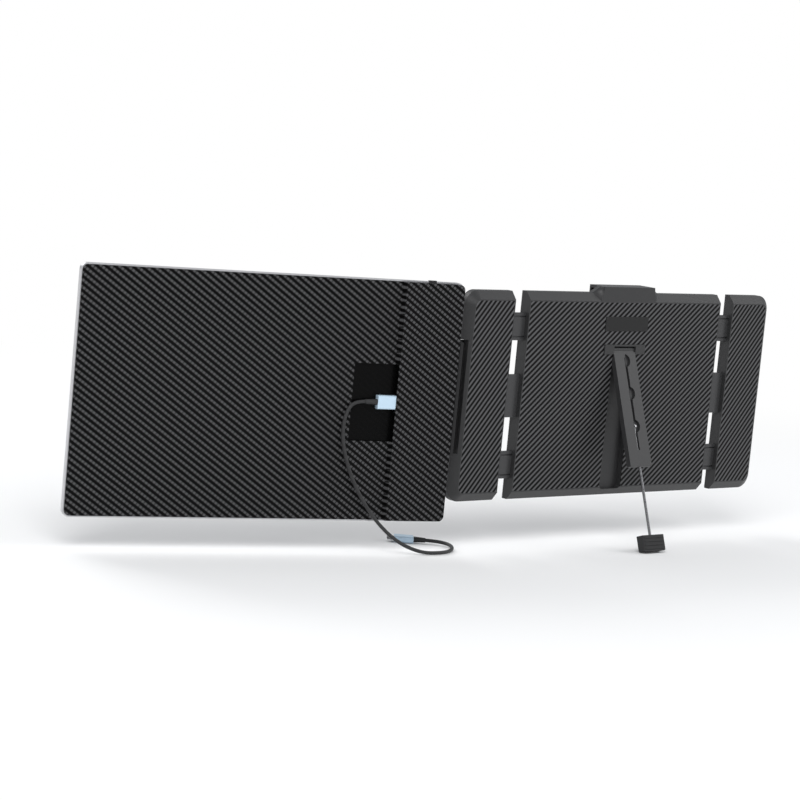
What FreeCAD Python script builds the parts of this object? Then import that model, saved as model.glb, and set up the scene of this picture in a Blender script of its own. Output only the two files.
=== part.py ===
import FreeCAD, Part
import math
import os

from FreeCAD import Placement, Rotation, Vector

doc = FreeCAD.newDocument("screen_extender")
sheet = doc.addObject("Spreadsheet::Sheet", "Sizes")
X_AXIS = Vector(1, 0, 0)
Z_AXIS = Vector(0, 0, 1)


class Dim:
    """A length or angle: its present value and the spreadsheet expression that gives it."""

    def __init__(self, value, text):
        self.value = value
        self.text = text

    def join(self, other, sign, value):
        text = other.text if isinstance(other, Dim) else repr(other)
        return Dim(value, f"({self.text} {sign} {text})")

    def __add__(self, other):
        return self.join(other, "+", self.value + number(other))

    def __sub__(self, other):
        return self.join(other, "-", self.value - number(other))

    def __mul__(self, other):
        return self.join(other, "*", self.value * number(other))

    def __truediv__(self, other):
        return self.join(other, "/", self.value / number(other))

    def __neg__(self):
        return Dim(-self.value, f"(0 - {self.text})")

    def __radd__(self, other):
        return self + other

    def __rsub__(self, other):
        return -self + other

    def __rmul__(self, other):
        return self * other


def number(size):
    return size.value if isinstance(size, Dim) else float(size)


def size(name, value, meaning):
    """Writes one driving dimension, in millimetres or degrees, and returns it."""
    size.row += 1
    sheet.set(f"A{size.row}", meaning)
    sheet.set(f"B{size.row}", str(value))
    sheet.setAlias(f"B{size.row}", name)
    return Dim(float(value), f"Sizes.{name}")


size.row = 0

# Frame that stands behind the lid: rear view, X to the right, Y towards the user, Z up
frame_height = size("frame_height", 190, "height of the frame")
frame_depth = size("frame_depth", 12, "thickness of the frame")
centre_width = size("centre_width", 253, "width of the centre body")
bracket_width = size("bracket_width", 56, "width of each side bracket")
slide_gap = size("slide_gap", 18, "gap between centre body and bracket as shown")
rim_width = size("rim_width", 7.5, "bevelled rim, seen from behind")
rim_depth = size("rim_depth", 6, "bevelled rim, front to back")
corner_radius = size("corner_radius", 14, "outer corners of the brackets")
front_cover_thickness = size("front_cover_thickness", 1.8, "front covers")
sheet_thickness = size("sheet_thickness", 0.8, "woven sheets")
sheet_margin = size("sheet_margin", 1, "from rim to woven sheet")
# Slide plates that cross the gaps
plate_thickness = size("plate_thickness", 3, "slide plates")
plate_recess = size("plate_recess", 4.5, "rear face of the frame to a slide plate")
end_plate_width = size("end_plate_width", 25, "upper and lower slide plates")
middle_plate_width = size("middle_plate_width", 39, "middle slide plate")
end_plate_offset = size("end_plate_offset", 63, "middle to an end slide plate")
groove_width = size("groove_width", 1.4, "grooves along the end slide plates")
groove_depth = size("groove_depth", 1, "depth of those grooves")
lip_width = size("lip_width", 2.6, "lips outside those grooves")
plate_seat = size("plate_seat", 30, "length of plate held in the bracket")
plate_reach = size("plate_reach", 45, "length of plate in the centre body as shown")
slide_clearance = size("slide_clearance", 0.15, "round a slide plate in its channel")
brake_pad_size = size("brake_pad_size", 9, "square friction pads")
brake_pad_thickness = size("brake_pad_thickness", 0.8, "friction pads")
# Hooks that grip the lid
lid_gap = size("lid_gap", 6.5, "lid thickness that the hooks take")
lip_thickness = size("lip_thickness", 1.8, "lips of the hooks")
hook_wall = size("hook_wall", 2.4, "walls of the edge hooks")
hook_inset = size("hook_inset", 1, "bracket edge to hook wall")
hook_lip = size("hook_lip", 8, "edge hook lips, outside to tip")
hook_foot = size("hook_foot", 12.5, "foot of an edge hook in the front cover")
hook_width = size("hook_width", 20, "edge hooks, up and down")
hook_drop = size("hook_drop", 24.2, "frame edge to the middle of an edge hook")
pad_thickness = size("pad_thickness", 0.6, "rubber pads")
rest_pad_length = size("rest_pad_length", 28, "flush pads on the lid side")
rest_pad_width = size("rest_pad_width", 10, "flush pads, up and down")
rest_pad_inset = size("rest_pad_inset", 26, "frame edges to the middle of a flush pad")
top_hook_base = size("top_hook_base", 88, "top hook at the rim")
top_hook_face = size("top_hook_face", 72, "rear face of the top hook")
top_hook_crown = size("top_hook_crown", 66, "top hook along its top")
top_hook_rise = size("top_hook_rise", 6, "top hook above the frame")
top_hook_drop = size("top_hook_drop", 9, "lip of the top hook, up and down")
top_hook_roof = size("top_hook_roof", 2.6, "thickness over the lid's top edge")
# Screen hinge
hinge_inset = size("hinge_inset", 7.5, "bracket edge to the hinge axis")
hinge_depth = size("hinge_depth", 3, "lid face to the hinge axis")
hinge_slot = size("hinge_slot", 102, "hinge slot, up and down")
hinge_slot_width = size("hinge_slot_width", 5, "slot in the rim, seen from behind")
barrel_radius = size("barrel_radius", 2.8, "hinge barrel")
barrel_clearance = size("barrel_clearance", 0.8, "round the barrel in the bracket")
hinge_end_gap = size("hinge_end_gap", 1, "barrel end to slot end")
hinge_pin_radius = size("hinge_pin_radius", 1.5, "hinge pins")
pin_clearance = size("pin_clearance", 0.05, "round a turning pin")
hinge_pin_seat = size("hinge_pin_seat", 8, "length of pin in the bracket")
leaf_thickness = size("leaf_thickness", 2.2, "hinge leaf from the barrel")
riser_thickness = size("riser_thickness", 3, "part of the leaf along the panel's edge")
screen_turn = size("screen_turn", 16, "screen towards the user, in degrees")
# Screen panel
panel_width = size("panel_width", 350, "screen panel")
panel_top = size("panel_top", 101.5, "panel above the middle of the frame")
panel_bottom = size("panel_bottom", 110.5, "panel below the middle of the frame")
panel_start = size("panel_start", 14.5, "hinge axis to the panel's edge")
panel_setback = size("panel_setback", 12, "hinge axis to the screen's front")
panel_thickness = size("panel_thickness", 5.5, "thin part of the panel")
strip_step = size("strip_step", 4.5, "raised strip above the thin part")
strip_end = size("strip_end", 72, "hinge axis to the end of the raised strip")
strip_bevel = size("strip_bevel", 1.8, "sloping side of the raised strip")
panel_corner = size("panel_corner", 6, "corners of the panel")
side_wall = size("side_wall", 1.2, "metal frame round the panel")
glass_thickness = size("glass_thickness", 0.8, "front glass")
display_thickness = size("display_thickness", 1.8, "display behind the glass")
recess_width = size("recess_width", 40.5, "plug recess")
recess_top = size("recess_top", 28, "plug recess above the middle")
recess_bottom = size("recess_bottom", 40, "plug recess below the middle")
recess_floor = size("recess_floor", 0.9, "cover left under the plug recess")
strip_roof = size("strip_roof", 0.8, "cover over the driver board")
board_thickness = size("board_thickness", 1.4, "driver board")
board_lift = size("board_lift", 0.9, "display to driver board")
button_length = size("button_length", 7, "menu button")
button_place = size("button_place", 45.3, "hinge axis to the menu button")
button_rise = size("button_rise", 0.9, "menu button above the panel's edge")
button_width = size("button_width", 2.6, "menu button, front to back")
button_travel = size("button_travel", 0.5, "press of the menu button")
button_clearance = size("button_clearance", 0.15, "round the menu button")
# Plugs and sockets
port_height = size("port_height", 5.3, "socket middle below the middle of the frame")
port_width = size("port_width", 9, "socket, long way")
port_thickness = size("port_thickness", 3.2, "socket, short way")
port_length = size("port_length", 7.3, "socket depth")
port_wall = size("port_wall", 0.3, "metal shell of the socket")
port_pitch = size("port_pitch", 18, "from one socket to the next")
plug_width = size("plug_width", 12.2, "plug body, long way")
plug_thickness = size("plug_thickness", 5.8, "plug body, short way")
plug_length = size("plug_length", 17, "plug body")
nose_width = size("nose_width", 8.2, "plug nose, long way")
nose_thickness = size("nose_thickness", 2.4, "plug nose, short way")
nose_length = size("nose_length", 6.4, "plug nose")
relief_length = size("relief_length", 11, "strain relief")
relief_radius = size("relief_radius", 2.6, "strain relief at the plug")
cable_radius = size("cable_radius", 1.6, "cable")
# Kickstand
pivot_height = size("pivot_height", 42.5, "kickstand pivot above the middle")
pivot_depth = size("pivot_depth", 9.3, "lid face to the kickstand pivot")
stand_turn = size("stand_turn", 20, "kickstand opened, in degrees")
arm_width = size("arm_width", 28, "kickstand arm")
arm_thickness = size("arm_thickness", 5, "kickstand arm")
arm_length = size("arm_length", 111, "pivot to the arm's end")
knuckle_radius = size("knuckle_radius", 2.5, "arm's knuckle")
stand_pin_radius = size("stand_pin_radius", 1.2, "kickstand pin")
hinge_plate_width = size("hinge_plate_width", 53, "kickstand hinge plate")
hinge_plate_top = size("hinge_plate_top", 5, "hinge plate above the pivot")
hinge_plate_drop = size("hinge_plate_drop", 4, "hinge plate below the pivot")
hinge_plate_proud = size("hinge_plate_proud", 1.2, "hinge plate behind the rear face")
arm_clearance = size("arm_clearance", 0.3, "each side of the arm")
pocket_end = size("pocket_end", 89, "arm pocket below the middle")
pocket_corner = size("pocket_corner", 5, "lower corners of the arm pocket")
pocket_depth = size("pocket_depth", 6, "arm pocket")
rod_radius = size("rod_radius", 1.3, "prop rod")
rod_setback = size("rod_setback", 0.2, "rod behind the middle of the arm")
rod_clearance = size("rod_clearance", 0.3, "round the rod in the arm")
peg_radius = size("peg_radius", 1.1, "peg on the rod")
peg_place = size("peg_place", 73, "pivot to the peg as shown")
peg_step = size("peg_step", 31, "from one notch to the next")
slot_start = size("slot_start", 8, "pivot to the slot's upper end")
slot_end = size("slot_end", 95.5, "pivot to the slot's lower end")
slot_width = size("slot_width", 2.8, "straight slot")
notch_radius = size("notch_radius", 6, "half-round notches beside the slot")
foot_height = size("foot_height", 15, "rubber foot, along the rod")
foot_thickness = size("foot_thickness", 8, "rubber foot, front to back")
foot_width = size("foot_width", 27.4, "rubber foot")
foot_end = size("foot_end", 190, "pivot to the end of the foot")
# Badge plate and fasteners
badge_width = size("badge_width", 56, "plain plate under the top hook")
badge_height = size("badge_height", 13.4, "plain plate")
badge_drop = size("badge_drop", 28.3, "frame edge to the middle of the plain plate")
doc.recompute()


def bind(thing, path, value):
    """Ties one property of a document object to the sheet."""
    if isinstance(value, Dim):
        thing.setExpression(path, value.text)
    else:
        thing.setExpression(path, repr(float(value)))


def move(thing, place):
    for axis, value in zip("xyz", place):
        bind(thing, f"Placement.Base.{axis}", value)


def block(name, xs, ys, zs):
    """A cuboid between pairs of low and high sizes."""
    box = doc.addObject("Part::Box", name)
    for side, (low, high) in zip(("Length", "Width", "Height"), (xs, ys, zs)):
        bind(box, side, high - low)
    move(box, [pair[0] for pair in (xs, ys, zs)])
    return box


def cylinder(name, radius, length, start, turn=None, top=None):
    """A round bar, or a tapered one, along +Z or turned from it."""
    kind = "Part::Cone" if top else "Part::Cylinder"
    bar = doc.addObject(kind, name)
    if top:
        bind(bar, "Radius1", radius)
        bind(bar, "Radius2", top)
    else:
        bind(bar, "Radius", radius)
    bind(bar, "Height", length)
    if turn:
        bar.Placement = Placement(Vector(), turn)
    move(bar, start)
    return bar


ALONG_X = Rotation(Vector(0, 1, 0), 90)
TO_REAR = Rotation(X_AXIS, 90)


def plane_of(body, role):
    return [f for f in body.Origin.OriginFeatures if f.Role == role][0]


def sketch_on(body, name, role, height):
    sketch = body.newObject("Sketcher::SketchObject", name)
    sketch.AttachmentSupport = [(plane_of(body, role), "")]
    sketch.MapMode = "FlatFace"
    bind(sketch, "AttachmentOffset.Base.z", height)
    return sketch


def pin_point(sketch, item, end, place):
    """Ties one end of a line or arc to its two coordinates."""
    import Sketcher
    for kind, value in zip(("DistanceX", "DistanceY"), place):
        index = sketch.addConstraint(
            Sketcher.Constraint(kind, -1, 1, item, end, number(value)))
        bind(sketch, f"Constraints[{index}]", value)


def outline(sketch, corners):
    """A closed outline through (x, y) or, on square corners, (x, y, radius)."""
    import Sketcher
    points = [Vector(number(c[0]), number(c[1]), 0) for c in corners]
    starts = []
    ends = []
    for i, corner in enumerate(corners):
        if len(corner) < 3:
            starts.append(corner[:2])
            ends.append(corner[:2])
            continue
        sides = []
        for j in (i - 1, (i + 1) % len(corners)):
            away = (points[j] - points[i]).normalize()
            x = corner[0] + corner[2] * round(away.x)
            y = corner[1] + corner[2] * round(away.y)
            sides.append((x, y))
        starts.append(sides[0])
        ends.append(sides[1])
    turning = sum(a.x * b.y - b.x * a.y for a, b in zip(points, points[1:] + points[:1]))
    for i, corner in enumerate(corners):
        j = (i + 1) % len(corners)
        if len(corner) == 3:
            a, b = (Vector(number(p[0]), number(p[1]), 0) for p in (starts[i], ends[i]))
            centre = a + b - points[i]
            middle = centre + (points[i] - centre).normalize() * number(corner[2])
            arc = Part.Arc(a, middle, b)
            item = sketch.addGeometry(arc)
            first, last = (1, 2) if turning > 0 else (2, 1)
            pin_point(sketch, item, first, starts[i])
            pin_point(sketch, item, last, ends[i])
            index = sketch.addConstraint(
                Sketcher.Constraint("Radius", item, number(corner[2])))
            bind(sketch, f"Constraints[{index}]", corner[2])
        a, b = ends[i], starts[j]
        line = Part.LineSegment(
            Vector(number(a[0]), number(a[1]), 0), Vector(number(b[0]), number(b[1]), 0))
        item = sketch.addGeometry(line)
        pin_point(sketch, item, 1, a)
        pin_point(sketch, item, 2, b)


def profile(name, role, corners, start, length):
    """A body padded from an outline along its plane's normal."""
    body = doc.addObject("PartDesign::Body", name)
    sketch = sketch_on(body, name + "_outline", role, start)
    outline(sketch, corners)
    pad = body.newObject("PartDesign::Pad", name + "_pad")
    pad.Profile = sketch
    bind(pad, "Length", length)
    body.Tip = pad
    return body


def loft_on(body, name, role, lower, lower_height, upper, upper_height):
    """Adds a loft between two outlines to a body."""
    sketches = []
    for tag, corners, height in (("low", lower, lower_height), ("high", upper, upper_height)):
        sketch = sketch_on(body, f"{name}_{tag}", role, height)
        outline(sketch, corners)
        sketches.append(sketch)
    loft = body.newObject("PartDesign::AdditiveLoft", name)
    loft.Profile = sketches[0]
    loft.Sections = [sketches[1]]
    loft.Ruled = True
    body.Tip = loft


def join(name, kind, pieces):
    result = doc.addObject(kind, name)
    result.Shapes = pieces
    return result


def fuse(name, pieces):
    return join(name, "Part::MultiFuse", pieces)


def common(name, pieces):
    return join(name, "Part::MultiCommon", pieces)


def cut(name, base, tools):
    result = doc.addObject("Part::Cut", name)
    result.Base = base
    result.Tool = tools[0] if len(tools) == 1 else fuse(name + "_tools", tools)
    return result


def group(name, pieces):
    result = doc.addObject("Part::Compound", name)
    result.Links = pieces
    return result


def rectangle(x_low, x_high, z_low, z_high, radius=None):
    corners = [(x_low, z_low), (x_high, z_low), (x_high, z_high), (x_low, z_high)]
    return [c + (radius,) for c in corners] if radius else corners


nodes = []


def node(thing, label):
    """Gives a finished sub-part its name."""
    thing.Label = label
    nodes.append(thing)
    return thing


# Places worked out from the driving sizes
half_height = frame_height / 2
badge_place = half_height - badge_drop
half_centre = centre_width / 2
bracket_inner = half_centre + slide_gap
bracket_outer = bracket_inner + bracket_width
rim_start = frame_depth - rim_depth
sheet_floor = frame_depth - sheet_thickness
plate_rear = frame_depth - plate_recess
plate_front = plate_rear - plate_thickness
plate_spots = (
    (end_plate_offset, end_plate_width),
    (end_plate_offset * 0, middle_plate_width),
    (-end_plate_offset, end_plate_width),
)
hinge_x = hinge_inset - bracket_outer
hinge_y = -hinge_depth
lip_top = lid_gap + lip_thickness


def channel(name, sign, x_low, x_high, margin):
    """The three slots that the slide plates of one side run or sit in."""
    slots = []
    for i, (z, width) in enumerate(plate_spots):
        low, high = (x_low, x_high) if sign > 0 else (-x_high, -x_low)
        ys = (-plate_rear - margin, margin - plate_front)
        zs = (z - width / 2 - margin, z + width / 2 + margin)
        slots.append(block(f"{name}_{i}", (low, high), ys, zs))
    return slots


def brake_pads(name, sign):
    """Friction pads in the front wall of each channel of one side."""
    pads = []
    for i, (z, width) in enumerate(plate_spots):
        middle = (half_centre - plate_reach / 3) * sign
        xs = (middle - brake_pad_size / 2, middle + brake_pad_size / 2)
        low = slide_clearance - plate_front
        ys = (low, low + brake_pad_thickness)
        zs = (z - brake_pad_size / 2, z + brake_pad_size / 2)
        pads.append(block(f"{name}_{i}", xs, ys, zs))
    return pads


def top_hook():
    """Hook over the lid's top edge: bevelled block, roof and lip."""
    base = top_hook_base / 2
    crown = top_hook_crown / 2
    face = top_hook_face / 2
    top = half_height + top_hook_rise
    waist = [(-base, half_height - 0.5), (base, half_height - 0.5), (crown, top), (-crown, top)]
    back = [(-face, half_height - rim_width), (face, half_height - rim_width),
            (crown, top), (-crown, top)]
    body = profile("hook_block", "XZ_Plane", waist, front_cover_thickness, rim_start - front_cover_thickness)
    loft_on(body, "hook_bevel", "XZ_Plane", waist, rim_start, back, frame_depth)
    arm = [(-front_cover_thickness, half_height), (-front_cover_thickness, top), (lip_top, top),
           (lip_top, top - top_hook_drop), (lid_gap, top - top_hook_drop),
           (lid_gap, top - top_hook_roof), (lid_gap * 0, top - top_hook_roof),
           (lid_gap * 0, half_height)]
    roof = profile("hook_roof", "YZ_Plane", arm, -crown, top_hook_crown)
    node(fuse("top_hook_solid", [body, roof]), "top_hook")
    pad = block("hook_pad", (1 - crown, crown - 1), (lid_gap - pad_thickness, lid_gap),
                (top - top_hook_drop, top - top_hook_roof - 0.5))
    node(pad, "top_hook_pad")
    return nodes[-2]


def frame_shell(name, x_low, x_high, left_rim, right_rim):
    """Rear shell: straight sides, then the bevelled rim up to the rear face."""
    def corners(x0, x1, inset, radius_left, radius_right):
        low = inset - half_height
        high = half_height - inset
        left = (radius_left,) if radius_left else ()
        right = (radius_right,) if radius_right else ()
        return [(x0, low) + left, (x1, low) + right, (x1, high) + right, (x0, high) + left]

    outer = corners(x_low, x_high, rim_width * 0, corner_radius if left_rim else None,
                    corner_radius if right_rim else None)
    inner_radius = corner_radius - rim_width
    inner_low = x_low + rim_width if left_rim else x_low
    inner_high = x_high - rim_width if right_rim else x_high
    inner = corners(inner_low, inner_high, rim_width, inner_radius if left_rim else None,
                    inner_radius if right_rim else None)
    body = profile(name, "XZ_Plane", outer, front_cover_thickness, rim_start - front_cover_thickness)
    loft_on(body, name + "_rim", "XZ_Plane", outer, rim_start, inner, frame_depth)
    return body, outer


def sheet_outline(x_low, x_high, left_rim, right_rim):
    margin = rim_width + sheet_margin
    radius = corner_radius - margin
    low = margin - half_height
    high = half_height - margin
    x0 = x_low + (margin if left_rim else sheet_margin)
    x1 = x_high - (margin if right_rim else sheet_margin)
    left = (radius,) if left_rim else ()
    right = (radius,) if right_rim else ()
    return [(x0, low) + left, (x1, low) + right, (x1, high) + right, (x0, high) + left]


def arm_pocket_outline(margin):
    half = arm_width / 2 + arm_clearance + margin
    low = -pocket_end - margin
    return [(-half, low, pocket_corner), (half, low, pocket_corner),
            (half, pivot_height + hinge_plate_top - 1), (-half, pivot_height + hinge_plate_top - 1)]


def rest_pads(name):
    """Rubber pads set flush in the front cover, where the lid lies on it."""
    pads = []
    for sign in (-1, 1):
        for up in (-1, 1):
            x = (half_centre - rest_pad_inset) * sign
            z = (half_height - rest_pad_inset) * up
            pads.append(block(f"{name}_{sign + 1}_{up + 1}",
                              (x - rest_pad_length / 2, x + rest_pad_length / 2),
                              (-pad_thickness, pad_thickness * 0),
                              (z - rest_pad_width / 2, z + rest_pad_width / 2)))
    return pads


def centre_body():
    """Centre body: rear shell, woven sheet, front cover, channels and the arm pocket."""
    hook = top_hook()
    shell, outer = frame_shell("centre_shell", -half_centre, half_centre, False, False)
    pocket = profile("arm_pocket", "XZ_Plane", arm_pocket_outline(arm_width * 0),
                     frame_depth - pocket_depth, pocket_depth + 1)
    seat = profile("centre_sheet_seat", "XZ_Plane",
                   sheet_outline(-half_centre, half_centre, False, False), sheet_floor, sheet_thickness + 1)
    half_plate = hinge_plate_width / 2
    plate_xs = (-half_plate, half_plate)
    plate_zs = (pivot_height - hinge_plate_drop, pivot_height + hinge_plate_top)
    plate_seat_cut = block("hinge_plate_seat", plate_xs, (-frame_depth - 1, -rim_start), plate_zs)
    slots = []
    deep = half_centre - plate_reach - slide_gap - 1
    for sign, side in ((-1, "left"), (1, "right")):
        slots += channel(f"{side}_channel", sign, deep, half_centre + 1, slide_clearance)
        slots += brake_pads(f"{side}_pad_seat", sign)
    tools = [hook, pocket, seat, plate_seat_cut] + slots
    node(cut("centre_shell_cut", shell, tools), "centre_back_cover")
    front = profile("centre_front", "XZ_Plane", outer, frame_depth * 0, front_cover_thickness)
    node(cut("centre_front_cut", front, rest_pads("rest_seat")), "centre_front_cover")
    sheet_body = profile("centre_sheet", "XZ_Plane",
                         sheet_outline(-half_centre, half_centre, False, False), sheet_floor, sheet_thickness)
    pocket_cut = profile("sheet_pocket", "XZ_Plane", arm_pocket_outline(arm_width * 0),
                         frame_depth - pocket_depth, pocket_depth + 1)
    plate_cut = block("sheet_plate_cut", plate_xs, (-frame_depth - 1, -rim_start), plate_zs)
    node(cut("centre_sheet_cut", sheet_body, [pocket_cut, plate_cut]), "centre_carbon_sheet")
    badge = profile("badge", "XZ_Plane",
                    rectangle(-badge_width / 2, badge_width / 2, badge_place - badge_height / 2,
                              badge_place + badge_height / 2, 0.8 + badge_width * 0),
                    frame_depth, pad_thickness)
    node(badge, "badge_plate")
    pads = brake_pads("left_brake", -1) + brake_pads("right_brake", 1)
    node(group("brake_group", pads), "slide_brake_pads")
    node(group("rest_group", rest_pads("rest")), "lid_rest_pads")


def kickstand_hinge_plate():
    """Plate across the arm's head with a notch for the knuckle and a bore for the pin."""
    half = hinge_plate_width / 2
    xs = (-half, half)
    zs = (pivot_height - hinge_plate_drop, pivot_height + hinge_plate_top)
    plate = block("hinge_plate", xs, (-frame_depth - hinge_plate_proud, -rim_start), zs)
    gap = arm_width / 2 + arm_clearance
    notch = block("hinge_notch", (-gap, gap), (-frame_depth - hinge_plate_proud - 1, -rim_start + 1),
                  (pivot_height - hinge_plate_drop - 1, pivot_height + knuckle_radius + 0.8))
    length = arm_width + 16
    bore = cylinder("pin_bore", stand_pin_radius, length, (-length / 2, -pivot_depth, pivot_height), ALONG_X)
    node(cut("hinge_plate_cut", plate, [notch, bore]), "kickstand_hinge_plate")
    pin = cylinder("stand_pin", stand_pin_radius, length, (-length / 2, -pivot_depth, pivot_height), ALONG_X)
    node(pin, "kickstand_pin")


def slide_plates(side, sign):
    """The three plates of one side; the end plates have two grooves along them."""
    plates = []
    start = half_centre - plate_reach
    length = plate_reach + slide_gap + plate_seat
    begin = start if sign > 0 else -(start + length)
    for i, (z, width) in enumerate(plate_spots):
        half = width / 2
        rear = -plate_rear
        front = -plate_front
        corners = [(front, z - half), (front, z + half), (rear, z + half)]
        if i != 1:
            floor = rear + groove_depth
            inner = half - lip_width - groove_width
            corners += [(rear, z + half - lip_width), (floor, z + half - lip_width),
                        (floor, z + inner), (rear, z + inner), (rear, z - inner),
                        (floor, z - inner), (floor, z - half + lip_width),
                        (rear, z - half + lip_width)]
        corners.append((rear, z - half))
        plates.append(profile(f"{side}_plate_{i}", "YZ_Plane", corners[::-1], begin, length))
    node(group(f"{side}_plate_group", plates), f"{side}_slide_plates")


def edge_hook(side, sign, spot, name):
    """J-shaped hook: foot in the front cover, wall beside the lid, lip over it."""
    out = (bracket_outer - hook_inset) * sign
    wall = (bracket_outer - hook_inset - hook_wall) * sign
    tip = (bracket_outer - hook_inset - hook_lip) * sign
    foot = (bracket_outer - hook_inset - hook_foot) * sign
    zero = lid_gap * 0
    corners = [(out, -front_cover_thickness), (foot, -front_cover_thickness), (foot, zero), (wall, zero),
               (wall, lid_gap), (tip, lid_gap), (tip, lip_top), (out, lip_top)]
    return profile(name, "XY_Plane", corners, spot - hook_width / 2, hook_width)


def bracket(side, sign):
    """One side bracket with its hooks and slide plates."""
    low, high = (bracket_inner, bracket_outer) if sign > 0 else (-bracket_outer, -bracket_inner)
    left_rim, right_rim = sign < 0, sign > 0
    shell, outer = frame_shell(f"{side}_shell", low, high, left_rim, right_rim)
    seat = profile(f"{side}_sheet_seat", "XZ_Plane", sheet_outline(low, high, left_rim, right_rim),
                   sheet_floor, sheet_thickness + 1)
    tools = [seat] + channel(f"{side}_seat", sign, bracket_inner - 1, bracket_inner + plate_seat, rim_width * 0)
    front = profile(f"{side}_front", "XZ_Plane", outer, frame_depth * 0, front_cover_thickness)
    front_tools = []
    hook_spots = (half_height - hook_drop, hook_drop - half_height)
    foot_x = sorted(((bracket_outer - hook_inset) * sign, (bracket_outer - hook_inset - hook_foot) * sign),
                    key=number)
    for i, spot in enumerate(hook_spots):
        front_tools.append(block(f"{side}_foot_seat_{i}", foot_x, (-front_cover_thickness, spot * 0 + 1),
                                 (spot - hook_width / 2, spot + hook_width / 2)))
    if sign < 0:
        tools += hinge_space("shell")
        front_tools += hinge_space("front")
    node(cut(f"{side}_shell_cut", shell, tools), f"{side}_back_cover")
    node(cut(f"{side}_front_cut", front, front_tools), f"{side}_front_cover")
    skin = profile(f"{side}_sheet", "XZ_Plane", sheet_outline(low, high, left_rim, right_rim),
                   sheet_floor, sheet_thickness)
    node(skin, f"{side}_carbon_sheet")
    slide_plates(side, sign)
    hooks = [edge_hook(side, sign, spot, f"{side}_hook_{i}") for i, spot in enumerate(hook_spots)]
    node(group(f"{side}_hook_group", hooks), f"{side}_edge_hooks")
    pad_x = sorted(((bracket_outer - hook_inset - hook_wall) * sign,
                    (bracket_outer - hook_inset - hook_lip) * sign), key=number)
    pads = [block(f"{side}_pad_{i}", pad_x, (lid_gap - pad_thickness, lid_gap),
                  (spot - hook_width / 2 + 1, spot + hook_width / 2 - 1))
            for i, spot in enumerate(hook_spots)]
    node(group(f"{side}_pad_group", pads), f"{side}_edge_pads")


def hinge_space(name):
    """Room in the left bracket for the barrel, the swinging leaf and the hinge pins."""
    half = hinge_slot / 2
    zs = (-half, half)
    slot = block(f"{name}_rim_slot", (-bracket_outer - 1, hinge_slot_width - bracket_outer),
                 (-frame_depth - 1, frame_depth * 0 + 1), zs)
    room = barrel_radius + barrel_clearance
    reach = panel_start + barrel_clearance
    fold = block(f"{name}_fold_room", (hinge_x - room, hinge_x + reach), (hinge_y - room, hinge_y * 0 + 1), zs)
    middle = block(f"{name}_barrel_room", (-bracket_outer - 1, hinge_x), (hinge_y - room, hinge_y * 0 + 1), zs)
    length = hinge_slot + hinge_pin_seat * 2
    bore = cylinder(f"{name}_pin_bore", hinge_pin_radius, length, (hinge_x, hinge_y, -length / 2))
    return [slot, fold, middle, bore]


def hinge_pins():
    """Two pins fixed in the bracket, one at each end of the barrel."""
    pins = []
    length = hinge_pin_seat * 2
    for tag, middle in (("upper", hinge_slot / 2), ("lower", -hinge_slot / 2)):
        pins.append(cylinder(f"{tag}_hinge_pin", hinge_pin_radius, length,
                             (hinge_x, hinge_y, middle - hinge_pin_seat)))
    node(group("hinge_pin_group", pins), "hinge_pins")


def swing(thing):
    """Turns a piece that was drawn with the screen in line with the frame to its open place."""
    thing.Placement = Placement(Vector(), Rotation(Z_AXIS, -screen_turn.value))
    bind(thing, "Placement.Rotation.Angle", -screen_turn)
    move(thing, (hinge_x, hinge_y, hinge_x * 0))
    return thing


# The panel is drawn from the hinge axis: X to the left is minus, the rear is minus Y
screen_front = -panel_setback
glass_rear = screen_front - glass_thickness
display_rear = glass_rear - display_thickness
panel_rear = screen_front - panel_thickness
strip_rear = panel_rear - strip_step
panel_near = -panel_start
panel_far = -(panel_start + panel_width)
strip_far = -strip_end
port_middle = panel_rear - plug_thickness / 2 + display_thickness


def screen_hinge_leaf():
    """Barrel, leaf and the riser that is screwed to the panel's edge."""
    half = hinge_slot / 2 - hinge_end_gap
    barrel = cylinder("hinge_barrel", barrel_radius, half * 2, (half * 0, half * 0, -half))
    inner = -(panel_start - riser_thickness)
    zero = panel_start * 0
    corners = [(zero, zero), (zero, leaf_thickness), (panel_near, leaf_thickness),
               (panel_near, strip_rear + 1.5), (inner, strip_rear + 1.5), (inner, zero)]
    leaf = profile("leaf", "XY_Plane", corners[::-1], -half, half * 2)
    whole = fuse("leaf_whole", [barrel, leaf])
    bore_radius = hinge_pin_radius + pin_clearance
    depth = hinge_pin_seat + 1
    bores = [cylinder("upper_barrel_bore", bore_radius, depth, (zero, zero, half - hinge_pin_seat)),
             cylinder("lower_barrel_bore", bore_radius, depth, (zero, zero, -half - 1))]
    node(swing(cut("leaf_cut", whole, bores)), "hinge_leaf")


def panel_plan(inset, name, y_low, y_high):
    """The panel's rounded oblong, drawn in by a margin, between two depths."""
    corners = rectangle(panel_far + inset, panel_near - inset, inset - panel_bottom, panel_top - inset,
                        panel_corner - inset)
    return profile(name, "XZ_Plane", corners, -y_high, y_high - y_low)


def panel_profile(name, thin_rear, thick_rear, far, near, shrink):
    """Cross-section of the panel's rear side: thin part, sloping step and raised strip."""
    corners = [(far, display_rear), (near, display_rear), (near, thick_rear),
               (strip_far + shrink, thick_rear), (strip_far - strip_bevel, thin_rear), (far, thin_rear)]
    height = panel_top + panel_bottom
    return profile(name, "XY_Plane", corners, -panel_bottom, height)


def recess_block(name, y_low):
    """Space of the plug recess, up to a square wall in the side of the strip."""
    return block(name, (strip_far - recess_width, strip_far), (strip_rear - 1, y_low),
                 (-recess_bottom, recess_top))


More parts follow.
